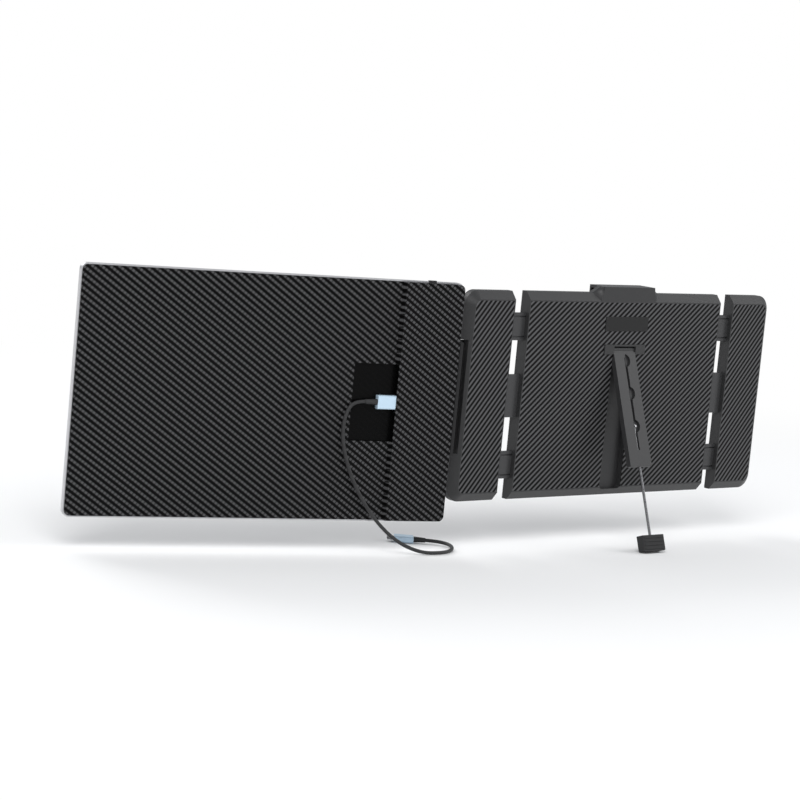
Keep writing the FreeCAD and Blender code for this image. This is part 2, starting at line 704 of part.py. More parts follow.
def panel():
    """The screen panel's own pieces."""
    wall = side_wall
    rim_rear = panel_rear + sheet_thickness
    outer = panel_plan(wall * 0, "frame_outer", rim_rear, screen_front)
    inner = panel_plan(wall, "frame_inner", rim_rear - 1, screen_front + 1)
    button_low = -(button_place + button_length / 2)
    button_middle = display_rear - button_width / 2 - 0.3
    hole = block("button_hole",
                 (button_low - button_clearance, button_low + button_length + button_clearance),
                 (button_middle - button_width / 2 - button_clearance,
                  button_middle + button_width / 2 + button_clearance),
                 (panel_top - wall - 6, panel_top + 1))
    node(swing(cut("side_frame_cut", outer, [inner, hole])), "panel_side_frame")
    glass = panel_plan(wall, "glass", glass_rear, screen_front)
    node(swing(glass), "screen_glass")
    margin = wall + 2
    display = panel_plan(margin, "display", display_rear, glass_rear)
    node(swing(display), "lcd_panel")

    cover_rear = panel_rear + sheet_thickness
    strip_cover = strip_rear + sheet_thickness
    slab = panel_profile("cover_profile", cover_rear, strip_cover, panel_far + wall, panel_near - wall, wall * 0)
    edge = panel_plan(wall, "cover_edge", strip_cover - 1, display_rear)
    cover = common("cover_rounded", [slab, edge])
    recess = recess_block("cover_recess", display_rear - recess_floor)
    board_front = display_rear - board_lift
    board_rear = board_front - board_thickness
    cavity = block("board_cavity", (strip_far + 1.6, panel_near - 8), (strip_cover + strip_roof, board_front),
                   (-recess_bottom - 10, recess_top + 20))
    ports = port_spots()
    openings = [block(f"port_opening_{i}", (strip_far - 1, strip_far + 2),
                      (port_middle - port_thickness / 2, port_middle + port_thickness / 2),
                      (z - port_width / 2, z + port_width / 2)) for i, z in enumerate(ports)]
    button_room = block("button_room",
                        (button_low - button_clearance, button_low + button_length + button_clearance),
                        (button_middle - button_width / 2 - button_clearance,
                         button_middle + button_width / 2 + button_clearance),
                        (panel_top - wall - 6, panel_top + 1))
    node(swing(cut("cover_cut", cover, [recess, cavity, button_room] + openings)), "panel_back_cover")

    thin = panel_plan(wall, "skin_plan", panel_rear, cover_rear)
    step_room = block("step_room", (strip_far - strip_bevel, panel_near + 1), (panel_rear - 1, cover_rear + 1),
                      (-panel_bottom - 1, panel_top + 1))
    recess_two = recess_block("skin_recess", display_rear)
    node(swing(cut("skin_cut", thin, [step_room, recess_two])), "panel_carbon_sheet")
    raised = panel_plan(wall, "strip_plan", strip_rear, strip_cover)
    keep = block("strip_keep", (strip_far, panel_near), (strip_rear - 1, strip_cover + 1),
                 (-panel_bottom, panel_top))
    node(swing(common("strip_sheet", [raised, keep])), "strip_carbon_sheet")

    board = block("board", (strip_far + 2, panel_near - 10), (board_rear, board_front),
                  (-recess_bottom - 8, recess_top + 18))
    node(swing(group("board_group", [board])), "driver_board")
    node(swing(group("port_group", [socket(f"socket_{i}", z) for i, z in enumerate(ports)])), "usb_c_sockets")
    cap = block("button_cap", (button_low, button_low + button_length),
                (button_middle - button_width / 2, button_middle + button_width / 2),
                (panel_top - wall - 3, panel_top + button_rise))
    node(swing(group("button_group", [cap])), "menu_button")


def port_spots():
    return [-port_height, port_pitch - port_height]


def socket(name, z):
    """Metal shell of a socket, open towards the recess, with its tongue."""
    near = strip_far + 2
    far = strip_far + port_length + 2
    half = port_thickness / 2
    wide = port_width / 2
    shell = block(name + "_shell", (near, far), (port_middle - half, port_middle + half), (z - wide, z + wide))
    bore = block(name + "_bore", (near - 1, far - port_wall),
                 (port_middle - half + port_wall, port_middle + half - port_wall),
                 (z - wide + port_wall, z + wide - port_wall))
    return cut(name, shell, [bore])


def plug(name, place_all):
    """A plug drawn along minus X from its face at the origin: nose, body, strain relief."""
    half_width = plug_width / 2
    half_thick = plug_thickness / 2
    corners = [(-half_thick, -half_width, plug_thickness / 4), (half_thick, -half_width, plug_thickness / 4),
               (half_thick, half_width, plug_thickness / 4), (-half_thick, half_width, plug_thickness / 4)]
    body = profile(name + "_body_solid", "YZ_Plane", corners, -plug_length, plug_length)
    node(place_all(body), name + "_body")
    nose_half = nose_width / 2
    nose_thick = nose_thickness / 2
    nose_corners = [(-nose_thick, -nose_half, nose_thickness / 3), (nose_thick, -nose_half, nose_thickness / 3),
                    (nose_thick, nose_half, nose_thickness / 3), (-nose_thick, nose_half, nose_thickness / 3)]
    nose = profile(name + "_nose_solid", "YZ_Plane", nose_corners, plug_length * 0, nose_length)
    node(place_all(nose), name + "_nose")
    start = -(plug_length + relief_length)
    relief = cylinder(name + "_relief_solid", cable_radius + 0.5, relief_length,
                      (start, start * 0, start * 0), ALONG_X, relief_radius)
    node(place_all(relief), name + "_strain_relief")


def near_plug_place(piece):
    """Seats a plug piece, drawn at the origin, in the first socket of the turned panel."""
    turned = screen_turn
    holder = group(piece.Name + "_placed", [piece])
    holder.Placement = Placement(Vector(), Rotation(Z_AXIS, -turned.value))
    bind(holder, "Placement.Rotation.Angle", -turned)
    cosine = Dim(math.cos(math.radians(turned.value)), f"cos({turned.text})")
    sine = Dim(math.sin(math.radians(turned.value)), f"sin({turned.text})")
    move(holder, (hinge_x + strip_far * cosine + port_middle * sine,
                  hinge_y - strip_far * sine + port_middle * cosine, -port_height))
    return holder


# Corners of the cable's route, chosen by hand: down behind the panel, then a loose bend on the table
CABLE_ROUTE = [
    (-310.4, 9.7, -11.0), (-314.8, 9.6, -27.0), (-312.5, 8.1, -48.0), (-302.5, 3.9, -75.0),
    (-284.5, -3.4, -104.0), (-263.0, -12.6, -125.5), (-241.0, -23.0, -135.4),
    (-221.0, -28.8, -135.4), (-203.0, -23.0, -135.4), (-188.5, -7.0, -134.8),
    (-189.5, 9.5, -134.2), (-199.5, 17.0, -134.2),
]
FIRST_RUN = 8
WIDEST_BEND = 26
FAR_END = CABLE_ROUTE[-1]
FAR_TURN = math.degrees(math.atan2(FAR_END[1] - CABLE_ROUTE[-2][1], FAR_END[0] - CABLE_ROUTE[-2][0]))


def cable():
    """Tube of straight runs and tangent arcs along the cable's route."""
    turn = math.radians(screen_turn.value)
    along = Vector(-math.cos(turn), math.sin(turn), 0)
    back = Vector(-math.sin(turn), -math.cos(turn), 0)
    axis = Vector(hinge_x.value, hinge_y.value, 0)
    start_reach = (strip_end + plug_length + relief_length).value
    start = axis + along * start_reach - back * port_middle.value
    start.z = -port_height.value
    points = [start, start + along * FIRST_RUN] + [Vector(*place) for place in CABLE_ROUTE]
    edges = []
    previous = points[0]
    radii = []
    for before, corner, after in zip(points, points[1:], points[2:]):
        into = (corner - before).normalize()
        out = (after - corner).normalize()
        angle = into.getAngle(out)
        runs = min((corner - before).Length, (after - corner).Length)
        trim = min(0.45 * runs, WIDEST_BEND * math.tan(angle / 2))
        radius = trim / math.tan(angle / 2)
        radii.append(round(radius, 1))
        entry = corner - into * trim
        leave = corner + out * trim
        toward = (out - into).normalize()
        centre_gap = radius / math.cos(angle / 2) - radius
        middle = corner + toward * centre_gap
        edges.append(Part.LineSegment(previous, entry).toShape())
        edges.append(Part.Arc(entry, middle, leave).toShape())
        previous = leave
    edges.append(Part.LineSegment(previous, points[-1]).toShape())
    path = Part.Wire(edges)
    first = (points[1] - points[0]).normalize()
    ring = Part.Wire([Part.Circle(points[0], first, cable_radius.value).toShape()])
    tube = path.makePipeShell([ring], True, False)
    expected = math.pi * cable_radius.value ** 2 * path.Length
    print("cable length", round(path.Length, 1), "tightest bend", min(radii),
          "volume share", round(tube.Volume / expected, 4))
    feature = doc.addObject("Part::Feature", "cable_tube")
    feature.Shape = tube
    node(feature, "cable")


def far_plug_place(piece):
    """Lays a plug piece on the table at the far end of the cable."""
    holder = group(piece.Name + "_laid", [piece])
    angle = math.radians(FAR_TURN)
    reach = plug_length + relief_length
    holder.Placement = Placement(Vector(), Rotation(Z_AXIS, FAR_TURN) * Rotation(X_AXIS, 90))
    x, y, z = FAR_END
    move(holder, (reach * math.cos(angle) + x, reach * math.sin(angle) + y, z))
    return holder


def stand_place(thing):
    """Opens a kickstand piece that was drawn hanging straight down from the pivot."""
    thing.Placement = Placement(Vector(), Rotation(X_AXIS, -stand_turn.value))
    bind(thing, "Placement.Rotation.Angle", -stand_turn)
    move(thing, (pivot_depth * 0, -pivot_depth, pivot_height))
    return thing


def kickstand_arm():
    """Arm with a knuckle, a bore for the rod and the notched slot that its peg runs in."""
    half = arm_width / 2
    thick = arm_thickness / 2
    top = -knuckle_radius - 0.6
    slab = profile("arm_slab", "XZ_Plane",
                   [(-half, -arm_length, 1 + half * 0), (half, -arm_length, 1 + half * 0), (half, top), (-half, top)],
                   -thick, arm_thickness)
    knuckle = cylinder("arm_knuckle", knuckle_radius, arm_width, (-half, half * 0, half * 0), ALONG_X)
    neck = block("arm_neck", (-half, half), (-thick + 0.6, thick - 0.6), (top - 1, half * 0))
    bore = cylinder("knuckle_bore", stand_pin_radius + pin_clearance, arm_width + 2,
                    (-half - 1, half * 0, half * 0), ALONG_X)
    groove = rod_radius + rod_clearance
    rod_y = -rod_setback
    channel_cut = block("rod_channel", (-groove, groove), (rod_y - groove, thick + 1),
                        (-arm_length - 1, -slot_start))
    slot = block("peg_slot", (-slot_width / 2, slot_width / 2), (-thick - 1, rod_y), (-slot_end, -slot_start))
    notches = []
    for i in range(3):
        place = peg_place - peg_step * i
        disc = cylinder(f"peg_disc_{i}", notch_radius, thick + 1, (slot_width * 0, rod_y, -place), TO_REAR)
        side = block(f"peg_side_{i}", (slot_width * 0, half), (-thick - 2, rod_y),
                     (-place - notch_radius - 1, notch_radius + 1 - place))
        notches.append(common(f"peg_notch_{i}", [disc, side]))
    node(stand_place(cut("arm_cut", fuse("arm_whole", [slab, knuckle, neck]),
                         [bore, channel_cut, slot] + notches)), "kickstand_arm")


def prop_rod():
    """Wire rod with its peg, and the rubber foot on its lower end."""
    zero = rod_radius * 0
    foot_top = -(foot_end - foot_height)
    sunk = foot_height - 4
    rod_end = foot_end - 4
    rod = cylinder("rod_wire", rod_radius, rod_end - peg_place + peg_radius * 2,
                   (zero, -rod_setback, -rod_end))
    thick = arm_thickness / 2
    peg = cylinder("rod_peg", peg_radius, thick - rod_setback + 0.4, (zero, -rod_setback, -peg_place), TO_REAR)
    node(stand_place(fuse("rod_whole", [rod, peg])), "prop_rod")
    half = foot_width / 2
    foot = profile("foot_solid", "XZ_Plane",
                   [(-half, -foot_end, 1.5 + zero), (half, -foot_end, 1.5 + zero), (half, foot_top), (-half, foot_top)],
                   rod_setback - foot_thickness / 2, foot_thickness)
    bore = cylinder("foot_bore", rod_radius, sunk + 1, (zero, -rod_setback, foot_top - sunk))
    node(stand_place(cut("foot_cut", foot, [bore])), "rubber_foot")


centre_body()
kickstand_hinge_plate()
bracket("left", -1)
bracket("right", 1)
hinge_pins()
screen_hinge_leaf()
panel()
plug("near_plug", near_plug_place)
cable()
plug("far_plug", far_plug_place)
kickstand_arm()
prop_rod()

doc.recompute()
faults = [f"{thing.Name}: {thing.State}" for thing in doc.Objects
          if "Invalid" in thing.State or "Error" in thing.State]
for piece in nodes:
    if piece.Shape.isNull() or not piece.Shape.isValid():
        faults.append(f"{piece.Label} has no valid shape")
if faults:
    raise SystemExit("\n".join(faults))

os.makedirs("parts", exist_ok=True)
for piece in nodes:
    piece.Shape.exportStep(os.path.join("parts", piece.Label + ".step"))
print(len(nodes), "sub-parts")
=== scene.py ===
"""Laptop screen extender seen from behind: finishes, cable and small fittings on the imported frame.

Lengths are millimetres, and are turned into metres with MM where they are used.
"""

import math

import bmesh
import bpy
from mathutils import Matrix, Vector


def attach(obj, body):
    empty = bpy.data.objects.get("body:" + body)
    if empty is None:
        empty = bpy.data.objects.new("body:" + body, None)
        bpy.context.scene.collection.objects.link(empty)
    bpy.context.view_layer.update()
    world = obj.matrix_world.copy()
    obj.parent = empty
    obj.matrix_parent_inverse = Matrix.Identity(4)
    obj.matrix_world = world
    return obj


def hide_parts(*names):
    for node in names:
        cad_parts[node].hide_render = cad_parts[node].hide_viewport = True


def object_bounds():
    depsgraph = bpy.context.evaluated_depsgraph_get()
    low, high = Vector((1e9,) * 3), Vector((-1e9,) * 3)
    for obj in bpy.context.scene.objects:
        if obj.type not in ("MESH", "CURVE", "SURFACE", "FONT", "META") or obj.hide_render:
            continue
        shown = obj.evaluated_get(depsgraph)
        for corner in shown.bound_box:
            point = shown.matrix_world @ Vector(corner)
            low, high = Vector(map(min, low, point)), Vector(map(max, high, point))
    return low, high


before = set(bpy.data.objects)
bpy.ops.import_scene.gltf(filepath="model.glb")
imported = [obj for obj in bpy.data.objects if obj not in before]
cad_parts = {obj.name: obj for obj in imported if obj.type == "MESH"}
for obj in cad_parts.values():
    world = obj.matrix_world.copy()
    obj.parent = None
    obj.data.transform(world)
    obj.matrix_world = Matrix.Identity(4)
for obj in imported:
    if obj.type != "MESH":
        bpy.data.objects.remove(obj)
cad_low, cad_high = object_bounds()

MM = 0.001
UP = Vector((0, 0, 1))
FLAT = Matrix.Identity(4)

# The photograph's viewing angle, for an 800 by 800 frame
CAMERA_PLACE = Vector((-1765.33, -1703.1, 284.89))
CAMERA_YAW = 41.465
CAMERA_PITCH = 7.228
CAMERA_ROLL = 5.411
CAMERA_LENS = 118.41
CAMERA_SENSOR = 36
CAMERA_REACH = 30000

# The screen hangs from this axis and is turned forwards; the values are those of the solids
HINGE = Vector((-193, -3, 0))
SCREEN_TURN = math.radians(16)
ALONG_PANEL = Vector((-math.cos(SCREEN_TURN), math.sin(SCREEN_TURN), 0))
BEHIND_PANEL = Vector((-math.sin(SCREEN_TURN), -math.cos(SCREEN_TURN), 0))
PANEL_FRONT = 12
PANEL_START = 14.5
PANEL_END = 364.5
PANEL_TOP = 101.5
PANEL_BOTTOM = -110.5
RECESS_HEIGHTS = (-40, 28)

# The open kickstand, drawn hanging straight down from its pivot
PIVOT = Vector((0, -9.3, 42.5))
STAND_TURN = math.radians(20)


def new_object(name, data):
    made = bpy.data.objects.new(name, data)
    bpy.context.scene.collection.objects.link(made)
    return made


def place_camera():
    yaw, pitch, roll = (math.radians(turn) for turn in (CAMERA_YAW, CAMERA_PITCH, CAMERA_ROLL))
    level = Matrix(((1, 0, 0), (0, 0, -1), (0, 1, 0)))
    look = (Matrix.Rotation(roll, 3, "Z") @ Matrix.Rotation(pitch, 3, "X") @ level
            @ Matrix.Rotation(yaw, 3, "Z"))
    right, down, ahead = look
    lens = bpy.data.cameras.new("photo_camera")
    lens.sensor_width = CAMERA_SENSOR
    lens.lens = CAMERA_LENS
    lens.clip_end = CAMERA_REACH * MM
    camera = new_object("photo_camera", lens)
    camera.matrix_world = Matrix((right, -down, -ahead)).transposed().to_4x4()
    camera.location = CAMERA_PLACE * MM
    bpy.context.scene.camera = camera


place_camera()


# Meshes

def axes_at(place, along, across, up):
    """Takes millimetres along three axes that meet at a place into the frame of the object."""
    return Matrix.Translation(place * MM) @ Matrix((along, across, up)).transposed().to_4x4()


PANEL = axes_at(HINGE, ALONG_PANEL, BEHIND_PANEL, UP)
STAND = Matrix.Translation(PIVOT * MM) @ Matrix.Rotation(-STAND_TURN, 4, "X")


def mesh_object(name, mesh, place, material):
    """Turns a mesh in millimetres into an object in its place, with its finish."""
    data = bpy.data.meshes.new(name)
    mesh.transform(Matrix.Diagonal((MM, MM, MM, 1)))
    mesh.transform(place)
    if place.determinant() < 0:
        bmesh.ops.reverse_faces(mesh, faces=mesh.faces)
    mesh.to_mesh(data)
    mesh.free()
    data.materials.append(material)
    return new_object(name, data)


def add_fitting(name, mesh, place, body, material):
    """A small piece that rides on one body."""
    piece = mesh_object(name, mesh, place, material)
    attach(piece, body)


def add_block(mesh, low, high, bevel=0.0):
    """A cuboid between two corners, with its edges eased."""
    low, high = Vector(low), Vector(high)
    made = bmesh.ops.create_cube(mesh, size=1)["verts"]
    bmesh.ops.scale(mesh, vec=high - low, verts=made)
    bmesh.ops.translate(mesh, vec=(low + high) / 2, verts=made)
    if bevel:
        edges = list({edge for vert in made for edge in vert.link_edges})
        bmesh.ops.bevel(mesh, geom=edges, offset=bevel, segments=2, affect="EDGES")


def add_disc(mesh, centre, radius, length, axis, sides=24):
    """A short round bar round a point, along X, Y or Z."""
    turns = {"X": Matrix.Rotation(math.pi / 2, 4, "Y"), "Y": Matrix.Rotation(math.pi / 2, 4, "X"),
             "Z": Matrix.Identity(4)}
    bmesh.ops.create_cone(mesh, cap_ends=True, segments=sides, radius1=radius, radius2=radius,
                          depth=length, matrix=Matrix.Translation(centre) @ turns[axis])


# Nodes

def maths(tree, kind, first, second=None):
    """The result of a Math node; first and second are sockets or numbers."""
    node = tree.nodes.new("ShaderNodeMath")
    node.operation = kind
    for place, value in enumerate((first, second)):
        if value is None:
            continue
        if isinstance(value, (int, float)):
            node.inputs[place].default_value = value
        else:
            tree.links.new(value, node.inputs[place])
    return node.outputs[0]


def smooth_rise(tree, value, start, end):
    """Nothing below the start, one beyond the end, and a smooth step between them."""
    node = tree.nodes.new("ShaderNodeMapRange")
    node.interpolation_type = "SMOOTHSTEP"
    node.inputs["From Min"].default_value = start
    node.inputs["From Max"].default_value = end
    tree.links.new(value, node.inputs["Value"])
    return node.outputs[0]


def ridge(tree, value):
    """Turns a run from 0 to 1 into a rise to 1 in its middle and a fall back to 0."""
    off_middle = maths(tree, "SUBTRACT", maths(tree, "MULTIPLY", value, 2), 1)
    return maths(tree, "SUBTRACT", 1, maths(tree, "ABSOLUTE", off_middle))


def object_axes(tree):
    """The three coordinates of the object itself, as sockets X, Y and Z."""
    place = tree.nodes.new("ShaderNodeTexCoord")
    split = tree.nodes.new("ShaderNodeSeparateXYZ")
    tree.links.new(place.outputs["Object"], split.inputs[0])
    return split.outputs


def new_group(name, inputs, outputs):
    group = bpy.data.node_groups.new(name, "ShaderNodeTree")
    for label, value in inputs.items():
        socket = group.interface.new_socket(label, in_out="INPUT", socket_type="NodeSocketFloat")
        socket.default_value = value
    for label in outputs:
        group.interface.new_socket(label, in_out="OUTPUT", socket_type="NodeSocketFloat")
    start = group.nodes.new("NodeGroupInput")
    end = group.nodes.new("NodeGroupOutput")
    return group, start, end


BAND_EDGES = (0.34, 0.78)
DASH_ENDS = (0.1, 0.4)
LANE_SHIFT = 0.5
THREAD_CONTRAST = 0.12
WEAVE_ROUGHNESS = 0.42
BAND_SMOOTHER = 0.16
BAND_HEIGHT = 0.5


def weave_group():
    """Slanting bands of threads; each band can be broken into dashes, like carbon twill."""
    group, start, end = new_group(
        "slanting_weave", {"Slant": 0.6, "Pitch": 4 * MM, "Dash": 8 * MM, "Thread": 0.6 * MM, "Broken": 1.0},
        ("Band", "Sheen", "Height"))
    axes = object_axes(group)
    x, z = axes["X"], axes["Z"]
    sine = maths(group, "SINE", start.outputs["Slant"])
    cosine = maths(group, "COSINE", start.outputs["Slant"])
    along = maths(group, "ADD", maths(group, "MULTIPLY", x, cosine), maths(group, "MULTIPLY", z, sine))
    across = maths(group, "SUBTRACT", maths(group, "MULTIPLY", z, cosine),
                   maths(group, "MULTIPLY", x, sine))
    lane = maths(group, "DIVIDE", across, start.outputs["Pitch"])
    shift = maths(group, "MULTIPLY", maths(group, "FLOOR", lane), LANE_SHIFT)
    run = maths(group, "ADD", maths(group, "DIVIDE", along, start.outputs["Dash"]), shift)
    crown = smooth_rise(group, ridge(group, maths(group, "FRACT", lane)), *BAND_EDGES)
    dashes = smooth_rise(group, ridge(group, maths(group, "FRACT", run)), *DASH_ENDS)
    unbroken = maths(group, "SUBTRACT", 1, start.outputs["Broken"])
    pieces = maths(group, "MAXIMUM", dashes, unbroken)
    turns = maths(group, "DIVIDE", across, start.outputs["Thread"])
    thread = maths(group, "SINE", maths(group, "MULTIPLY", turns, math.tau))
    threads = maths(group, "ADD", maths(group, "MULTIPLY", thread, THREAD_CONTRAST), 1 - THREAD_CONTRAST)
    band = maths(group, "MULTIPLY", maths(group, "MULTIPLY", crown, pieces), threads)
    sheen = maths(group, "SUBTRACT", WEAVE_ROUGHNESS, maths(group, "MULTIPLY", band, BAND_SMOOTHER))
    group.links.new(band, end.inputs["Band"])
    group.links.new(sheen, end.inputs["Sheen"])
    group.links.new(maths(group, "MULTIPLY", band, BAND_HEIGHT), end.inputs["Height"])
    return group


def grain_group():
    """Fine moulded grain: uneven gloss and a faint relief."""
    group, start, end = new_group("moulded_grain", {"Scale": 900.0, "Gloss": 0.45, "Spread": 0.12},
                                  ("Roughness", "Height"))
    place = group.nodes.new("ShaderNodeTexCoord")
    noise = group.nodes.new("ShaderNodeTexNoise")
    noise.inputs["Detail"].default_value = 3
    group.links.new(place.outputs["Object"], noise.inputs["Vector"])
    group.links.new(start.outputs["Scale"], noise.inputs["Scale"])
    value = noise.outputs["Fac"]
    swing = maths(group, "MULTIPLY", maths(group, "SUBTRACT", value, 0.5), start.outputs["Spread"])
    group.links.new(maths(group, "ADD", start.outputs["Gloss"], swing), end.inputs["Roughness"])
    group.links.new(value, end.inputs["Height"])
    return group


WEAVE = weave_group()
GRAIN = grain_group()


# Finishes

RELIEF_STRENGTH = 0.35
WEAVE_DEPTH = 0.05
THREAD_WIDTH = 0.6


def new_material(name, color, sockets):
    """A material whose shader has these values on its own sockets."""
    material = bpy.data.materials.new(name)
    material.use_nodes = True
    shader = material.node_tree.nodes["Principled BSDF"]
    shader.inputs["Base Color"].default_value = (*color, 1)
    for label, value in sockets.items():
        shader.inputs[label].default_value = value
    return material, shader


def put_group(material, group, values):
    node = material.node_tree.nodes.new("ShaderNodeGroup")
    node.node_tree = group
    for label, value in values.items():
        node.inputs[label].default_value = value
    return node


def add_relief(material, shader, height, depth):
    bump = material.node_tree.nodes.new("ShaderNodeBump")
    bump.inputs["Strength"].default_value = RELIEF_STRENGTH
    bump.inputs["Distance"].default_value = depth * MM
    material.node_tree.links.new(height, bump.inputs["Height"])
    material.node_tree.links.new(bump.outputs["Normal"], shader.inputs["Normal"])


def grained(name, color, gloss, depth=0.04, scale=900.0, spread=0.12, metallic=0.0):
    """Moulded plastic, rubber, paint or blasted metal with a fine grain."""
    material, shader = new_material(name, color, {"Metallic": metallic, "Specular IOR Level": 0.3})
    grain = put_group(material, GRAIN, {"Scale": scale, "Gloss": gloss, "Spread": spread})
    material.node_tree.links.new(grain.outputs["Roughness"], shader.inputs["Roughness"])
    add_relief(material, shader, grain.outputs["Height"], depth)
    return material


def outside_heights(tree, low, high):
    """One above and below a stretch of heights, nothing within it."""
    height = object_axes(tree)["Z"]
    away = maths(tree, "ABSOLUTE", maths(tree, "SUBTRACT", height, (low + high) / 2 * MM))
    return maths(tree, "GREATER_THAN", away, (high - low) / 2 * MM)


def woven(name, slant, dark, light, pitch, dash, broken, plain_between=None):
    """Sheet with a slanting woven pattern under a thin clear coat."""
    material, shader = new_material(
        name, dark, {"Coat Weight": 0.03, "Coat Roughness": 0.25, "Specular IOR Level": 0.06})
    tree = material.node_tree
    weave = put_group(material, WEAVE, {
        "Slant": math.radians(slant), "Pitch": pitch * MM, "Dash": dash * MM,
        "Thread": THREAD_WIDTH * MM, "Broken": broken})
    mix = tree.nodes.new("ShaderNodeMix")
    mix.data_type = "RGBA"
    mix.inputs["A"].default_value = (*dark, 1)
    mix.inputs["B"].default_value = (*light, 1)
    band = weave.outputs["Band"]
    if plain_between:
        band = maths(tree, "MULTIPLY", band, outside_heights(tree, *plain_between))
    tree.links.new(band, mix.inputs["Factor"])
    tree.links.new(mix.outputs["Result"], shader.inputs["Base Color"])
    tree.links.new(weave.outputs["Sheen"], shader.inputs["Roughness"])
    add_relief(material, shader, weave.outputs["Height"], WEAVE_DEPTH)
    return material


def clear_glass():
    sockets = {"Roughness": 0.03, "IOR": 1.5, "Transmission Weight": 1}
    return new_material("clear_front_glass", (0.55, 0.57, 0.6), sockets)[0]


def grey(level):
    """A very slightly blue grey."""
    return (level, level, level * 1.03)


RUBBER_GRAIN = {"depth": 0.08, "scale": 600.0}
CENTRE_SLANT = 40
BRACKET_SLANT = 50
PANEL_SLANT = -36
FRAME_THREADS = {"dark": grey(0.003), "light": grey(0.11), "pitch": 4.2, "dash": 20, "broken": 0}
PANEL_THREADS = {"dark": grey(0.0015), "light": grey(0.09), "pitch": 4.6, "dash": 3.2, "broken": 0.85}

frame_plastic = grained("dark_frame_plastic", grey(0.03), 0.42)
front_plastic = grained("front_cover_plastic", grey(0.032), 0.5)
hook_plastic = grained("hook_plastic", grey(0.03), 0.4)
slide_paint = grained("slide_plate_paint", grey(0.06), 0.36, metallic=0.3)
arm_plastic = grained("kickstand_plastic", grey(0.03), 0.45)
black_rubber = grained("black_rubber", grey(0.014), 0.75, **RUBBER_GRAIN)
foot_rubber = grained("foot_rubber", grey(0.028), 0.7, **RUBBER_GRAIN)
plain_plate = grained("plain_dark_plate", grey(0.012), 0.35, metallic=0.2)
pin_steel = grained("bright_steel", grey(0.2), 0.28, metallic=1.0, spread=0.08)
screw_steel = grained("black_screw_steel", grey(0.04), 0.4, metallic=0.8)
hinge_paint = grained("hinge_paint", grey(0.02), 0.38, metallic=0.4)
silver_edge = grained("silver_panel_edge", grey(0.55), 0.33, metallic=0.85, spread=0.06)
dark_display = grained("dark_display", grey(0.006), 0.2, depth=0.01)
green_board = grained("green_board", (0.015, 0.1, 0.04), 0.45)
socket_steel = grained("socket_steel", grey(0.5), 0.3, metallic=1.0)
plug_metal = grained("plug_aluminium", (0.56, 0.72, 0.86), 0.34, metallic=0.25, spread=0.08)
cable_jacket = grained("cable_jacket", grey(0.03), 0.55)
front_glass = clear_glass()
centre_weave = woven("centre_weave", CENTRE_SLANT, **FRAME_THREADS)
bracket_weave = woven("bracket_weave", BRACKET_SLANT, **FRAME_THREADS)
panel_weave = woven("panel_weave", PANEL_SLANT, **PANEL_THREADS)
panel_weave_round_recess = woven("panel_weave_round_recess", PANEL_SLANT, **PANEL_THREADS,
                                 plain_between=RECESS_HEIGHTS)

NODE_FINISH = {
    frame_plastic: "centre_back_cover left_back_cover right_back_cover",
    front_plastic: "centre_front_cover left_front_cover right_front_cover",
    hook_plastic: "top_hook left_edge_hooks right_edge_hooks menu_button",
    slide_paint: "left_slide_plates right_slide_plates",
    arm_plastic: "kickstand_arm kickstand_hinge_plate",
    black_rubber: "top_hook_pad left_edge_pads right_edge_pads lid_rest_pads slide_brake_pads",
    foot_rubber: "rubber_foot",
    plain_plate: "badge_plate",
    pin_steel: "kickstand_pin hinge_pins prop_rod near_plug_nose far_plug_nose",
    hinge_paint: "hinge_leaf",
    silver_edge: "panel_side_frame",
    panel_weave_round_recess: "panel_back_cover",
    dark_display: "lcd_panel",
    green_board: "driver_board",
    socket_steel: "usb_c_sockets",
    plug_metal: "near_plug_body far_plug_body",
    cable_jacket: "cable near_plug_strain_relief far_plug_strain_relief",
    front_glass: "screen_glass",
    centre_weave: "centre_carbon_sheet",
    bracket_weave: "left_carbon_sheet right_carbon_sheet",
    panel_weave: "panel_carbon_sheet strip_carbon_sheet",
}


def finish_nodes():
    for material, names in NODE_FINISH.items():
        for name in names.split():
            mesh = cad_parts[name].data
            mesh.materials.clear()
            mesh.materials.append(material)


finish_nodes()


# Cable: the corners of its route are those of the solids

CABLE_ROUTE = [
    (-294.25, 6.68, -5.3), (-301.94, 8.89, -5.3),
    (-310.4, 9.7, -11.0), (-314.8, 9.6, -27.0), (-312.5, 8.1, -48.0), (-302.5, 3.9, -75.0),
    (-284.5, -3.4, -104.0), (-263.0, -12.6, -125.5), (-241.0, -23.0, -135.4),
    (-221.0, -28.8, -135.4), (-203.0, -23.0, -135.4), (-188.5, -7.0, -134.8),
    (-189.5, 9.5, -134.2), (-199.5, 17.0, -134.2),
]
CABLE_RADIUS = 1.6
CABLE_ORDER = 3
CABLE_STEPS = 10
CABLE_ROUNDNESS = 5


def lay_cable():
    curve = bpy.data.curves.new("usb_cable", "CURVE")
    curve.dimensions = "3D"
    curve.bevel_depth = CABLE_RADIUS * MM
    curve.bevel_resolution = CABLE_ROUNDNESS
    curve.resolution_u = CABLE_STEPS
    curve.use_fill_caps = True
    spline = curve.splines.new("NURBS")
    spline.points.add(len(CABLE_ROUTE) - 1)
    for point, place in zip(spline.points, CABLE_ROUTE):
        point.co = (*(Vector(place) * MM), 1)
    spline.order_u = CABLE_ORDER
    spline.use_endpoint_u = True
    curve.materials.append(cable_jacket)
    cable = new_object("usb_cable", curve)
    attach(cable, "screen")
    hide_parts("cable")


lay_cable()


# Small fittings

SCREW_HEIGHT = 90.8
SCREW_COLUMNS = {
    "centre": (-112.5, 112.5),
    "left_bracket": (-152.5, -182.5),
    "right_bracket": (152.5, 182.5),
}
SCREW_RADIUS = 2.2
SCREW_PROUD = 0.25
CROSS_LENGTH = 1.3
CROSS_WIDTH = 0.26
CROSS_PROUD = 0.03


